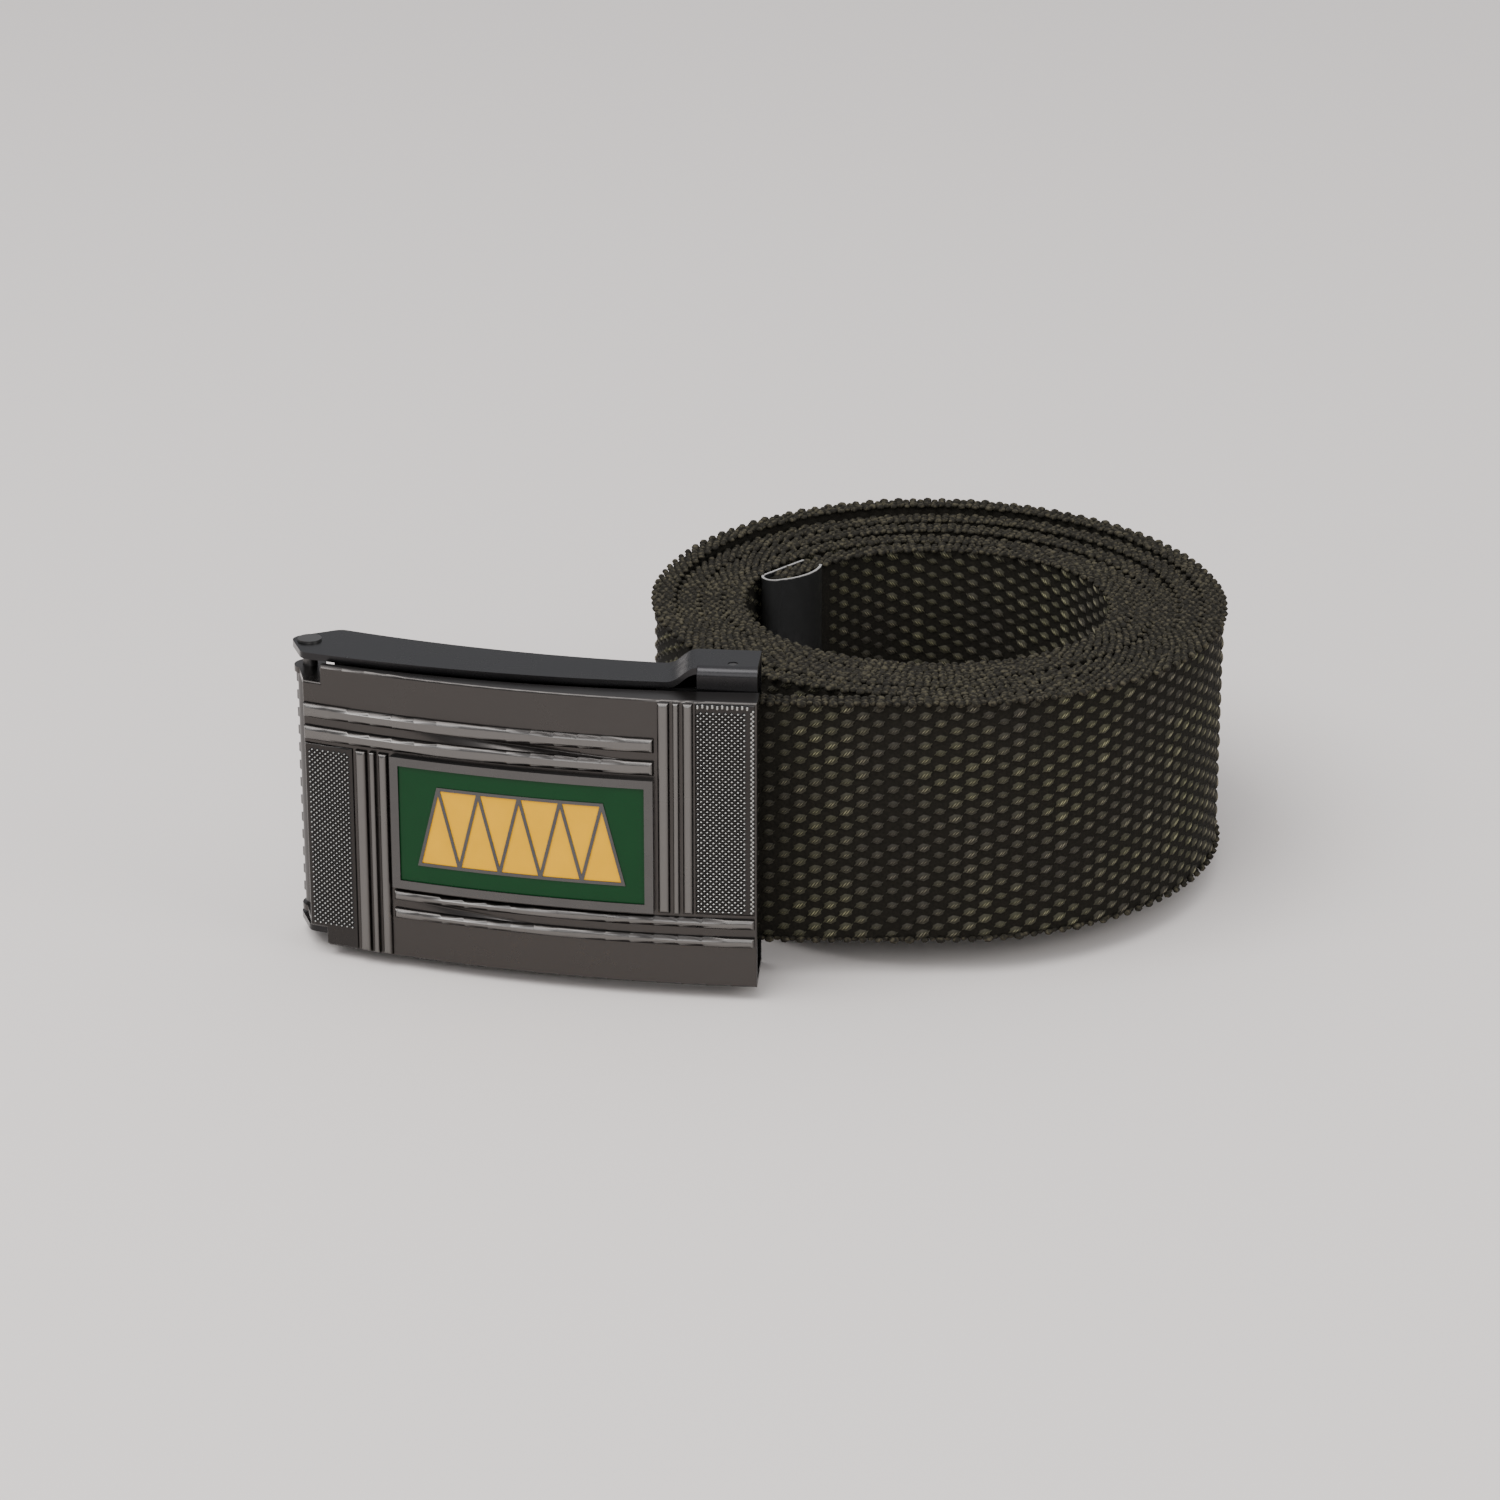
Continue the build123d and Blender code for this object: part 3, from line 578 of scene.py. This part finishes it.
loops = dict(Columns=int((strap_end - LOOP_END_GAP) / LOOP_PITCH), Rows=3,
             Column_Pitch=LOOP_PITCH * MM, Row_Pitch=1.2 * MM, Start=0.4 * MM,
             Size=millimetres(1.40, 1.2, 0.95), Fine_Size=millimetres(1.20, 1.1, 0.8),
             Slant=math.radians(-22), Unevenness=0.16, On_Edge=True)
edge_height = (STRAP_WIDTH / 2 - LOOP_INSET) * MM
for name, side, seed in (("top_selvage", 1.0, 11), ("bottom_selvage", -1.0, 13)):
    weave_pieces.append(lay_rows(name, strap_points, loop_shape, edge_yarn, Side=side, Turn_Faces=side > 0,
                                 Seed=seed, Height=edge_height, **loops))
for piece in weave_pieces:
    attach(piece, "root")


# ---- Metal tip -------------------------------------------------------------------------------------
# A sheet-metal end folded round the strap's cut end and crimped. It is lacquered black after it is
# stamped, and the cut edges show bare metal.
def height_in_belt(finish):
    """Distance above the strap's lower edge, in metres."""
    ends = {0: finish.place(), 1: tuple(belt_origin)}
    offset = finish.node("ShaderNodeVectorMath", {"operation": "SUBTRACT"}, ends)
    inputs = {0: offset, 1: tuple(belt_up)}
    return finish.node("ShaderNodeVectorMath", {"operation": "DOT_PRODUCT"}, inputs, "Value")


tip_lacquer = Finish("tip_lacquer", Coat_Roughness=0.2)
chips = tip_lacquer.noise(900.0)
cut_edge = height_in_belt(tip_lacquer) + chips * 0.0004
bare = tip_lacquer.step(cut_edge, (STRAP_WIDTH + 0.05) * MM, (STRAP_WIDTH + 0.2) * MM)
tip_lacquer.feed(Base_Color=tip_lacquer.between(bare, (0.012, 0.012, 0.012, 1), (0.62, 0.60, 0.57, 1)))
tip_lacquer.feed(Metallic=bare * 0.9, Roughness=0.32 + chips * 0.2, Coat_Weight=0.5 - bare * 0.5)
painted(frame["nodes"]["belt_tip"], tip_lacquer)


# ---- Buckle frame and pins --------------------------------------------------------------------------
# One stamping of steel sheet with folded walls and a stepped clamp end, plated in black nickel. The
# plating has a soft satin cloudiness. The pins are plain steel rod, dulled.
def black_nickel(name, base, roughness):
    """Satin black plating with faint clouds and hairline marks."""
    plating = Finish(name)
    clouds = plating.noise(140.0, 5.0)
    grain = plating.noise(3500.0, 2.0)
    low = tuple(value * 0.82 for value in base) + (1,)
    high = tuple(value * 1.18 for value in base) + (1,)
    plating.feed(Base_Color=plating.between(clouds, low, high), Metallic=0.92)
    plating.feed(Roughness=clouds * 0.14 + (roughness - 0.07), Normal=plating.bump(grain, 0.00002, 0.35))
    return plating


frame_plating = black_nickel("frame_plating", (0.034, 0.033, 0.034), 0.27)
painted(frame["nodes"]["buckle_frame"], frame_plating)
dull_steel = black_nickel("dull_steel", (0.11, 0.107, 0.105), 0.40)
for node in ("hinge_pin", "clamp_pin", "clamp_lever", "grip_cam"):
    painted(frame["nodes"][node], dull_steel)


# ---- Cover --------------------------------------------------------------------------------------------
# The curved face plate, pressed from the same sheet, with ribs laid round the badge. The ribs'
# crests are coloured lighter, partly worn plating and partly a painted highlight, and a narrow
# band at the ribs' feet is coloured darker.
COVER_FREE = 15.3
COVER_LENGTH = 69.8
COVER_MIDDLE = 18.5


def standing_proud(finish):
    """How far a spot stands in front of the cover's plain face, in metres."""
    axis = tuple(placed((*ARC_MIDDLE, 0)))
    offset = finish.node("ShaderNodeVectorMath", {"operation": "SUBTRACT"}, {0: finish.place(), 1: axis})
    inputs = {0: offset, 1: tuple(belt_up)}
    along = finish.node("ShaderNodeVectorMath", {"operation": "CROSS_PRODUCT"}, inputs)
    distance = finish.node("ShaderNodeVectorMath", {"operation": "LENGTH"}, {0: along}, "Value")
    return distance - FACE_RADIUS * MM


PLATED = (0.062, 0.057, 0.054, 1)
GROOVE = (0.012, 0.012, 0.012, 1)
CREST_WEAR_AND_HIGHLIGHT = (0.150, 0.144, 0.138, 1)
cover_plating = black_nickel("cover_plating", PLATED[:3], 0.29)
crest_wear_and_highlight_noise = cover_plating.noise(420.0, 4.0)
proud = standing_proud(cover_plating)
# The ribs' raised tops are coloured lighter: partly worn plating, partly a painted highlight.
crest_wear_and_highlight = cover_plating.step(proud + crest_wear_and_highlight_noise * 0.00004, 0.00050, 0.00080)
# Darker in a narrow band just above the plain face, at the feet of the ribs.
rib_foot_dark = cover_plating.step(proud, 0.00008, 0.00040) - cover_plating.step(proud, 0.00002, 0.00006) + 1.0
body_tone = cover_plating.between(rib_foot_dark, GROOVE, PLATED)
cover_plating.feed(Base_Color=cover_plating.between(crest_wear_and_highlight, body_tone, CREST_WEAR_AND_HIGHLIGHT))
painted(frame["nodes"]["cover_plate"], cover_plating)
badge_plating = black_nickel("badge_plating", (0.095, 0.092, 0.090), 0.27)
painted(frame["nodes"]["badge_plate"], badge_plating)


# ---- Knurl --------------------------------------------------------------------------------------------
# Fine four-sided points rolled into the two end panels of the cover, so that a finger grips it.
# Their tips are coloured light, partly worn plating and partly a painted highlight, and their
# flanks are painted dark as shade. A border of small dots runs along two sides of the free end's panel.
KNURL_COLUMN = 0.45
KNURL_ROW = 0.80
PANEL_PROUD = 0.25
ROOT_SUNK = 0.02
COVER_STEPS = 200


def cover_line(height):
    """The cover's face from its hinge end to its free end, in the belt's axes."""
    points = []
    for i in range(COVER_STEPS + 1):
        points.append(on_buckle(COVER_FREE + COVER_LENGTH * (1 - i / COVER_STEPS), 0.0, height))
    return points


def pyramid(shape):
    corners = [shape.verts.new((x, y, 0)) for x, y in ((0.5, 0), (0, 0.5), (-0.5, 0), (0, -0.5))]
    top = shape.verts.new((0, 0, 1))
    for i in range(4):
        shape.faces.new((corners[i], corners[(i + 1) % 4], top))
    shape.faces.new(list(reversed(corners)))


knurl_plating = black_nickel("knurl_plating", (0.11, 0.107, 0.105), 0.28)
# Painted highlight and worn plating on the points' tips; painted shade on their flanks below them.
bright = knurl_plating.step(standing_proud(knurl_plating), 0.00034, 0.00050)
knurl_tone = knurl_plating.between(bright, (0.022, 0.022, 0.022, 1), (0.62, 0.61, 0.58, 1))
knurl_plating.feed(Base_Color=knurl_tone)
point_shape = unit_shape("point_shape", pyramid)
POINT_SIZE = millimetres(0.8, 0.72, 0.32)
DOT_SIZE = millimetres(0.55, 0.55, 0.50)
DOT_PITCH = 0.72
CLOSE_PITCH = 0.252
panel_settings = dict(Height=(PANEL_PROUD - ROOT_SUNK) * MM, Side=1.0, On_Edge=False, Turn_Faces=False)
for name, start, end, low, high, seed in (
    ("knurl_hinge", 1.1, 8.1, -18.9, 9.3, 17),
    ("knurl_free", 61.2, 68.7, -10.6, 20.9, 19),
):
    columns, rows = int((end - start) / KNURL_COLUMN), int((high - low) / KNURL_ROW)
    panel = lay_rows(name, cover_line(COVER_MIDDLE + (low + high) / 2), point_shape, knurl_plating,
                     Columns=columns, Rows=rows, Column_Pitch=KNURL_COLUMN * MM, Row_Pitch=KNURL_ROW * MM,
                     Start=start * MM, Size=POINT_SIZE, Fine_Size=POINT_SIZE, Unevenness=0.03, Seed=seed,
                     **panel_settings)
    panel.data.polygons.foreach_set("use_smooth", [False] * len(panel.data.polygons))
    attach(panel, "cover")
for name, columns, column_pitch, rows, row_pitch, start, middle, seed in (
    ("dots_top", 11, DOT_PITCH, 2, CLOSE_PITCH, 61.2, 21.55, 23),
    ("dots_side", 2, CLOSE_PITCH, 44, DOT_PITCH, 69.0, 5.4, 29),
):
    border = lay_rows(name, cover_line(COVER_MIDDLE + middle), loop_shape, knurl_plating,
                      Columns=columns, Rows=rows, Column_Pitch=column_pitch * MM,
                      Row_Pitch=row_pitch * MM, Start=start * MM, Size=DOT_SIZE, Fine_Size=DOT_SIZE,
                      Seed=seed, **panel_settings)
    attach(border, "cover")
for shape in (float_shape, loop_shape, point_shape):
    bpy.data.objects.remove(shape)


# ---- Enamel -------------------------------------------------------------------------------------------
# Glossy enamel poured between the badge's raised metal lines and fired: a dark green ground and
# light cells. It lies slightly wavy, with a few dust specks.
def enamel(name, colour):
    glaze = Finish(name, Coat_Roughness=0.04, Coat_Weight=0.30, Specular_IOR_Level=0.05)
    wave, specks = glaze.noise(260.0, 2.0), glaze.noise(1500.0, 2.0)
    deep = tuple(value * 0.85 for value in colour) + (1,)
    glaze.feed(Base_Color=glaze.between(wave, deep, (*colour, 1)), Roughness=0.16 + specks * 0.12)
    glaze.feed(Normal=glaze.bump(wave, 0.00006, 0.5))
    return glaze


painted(frame["nodes"]["enamel_ground"], enamel("green_enamel", (0.0, 0.040, 0.009)))
painted(frame["nodes"]["enamel_motif"], enamel("yellow_enamel", (0.86, 0.43, 0.0)))
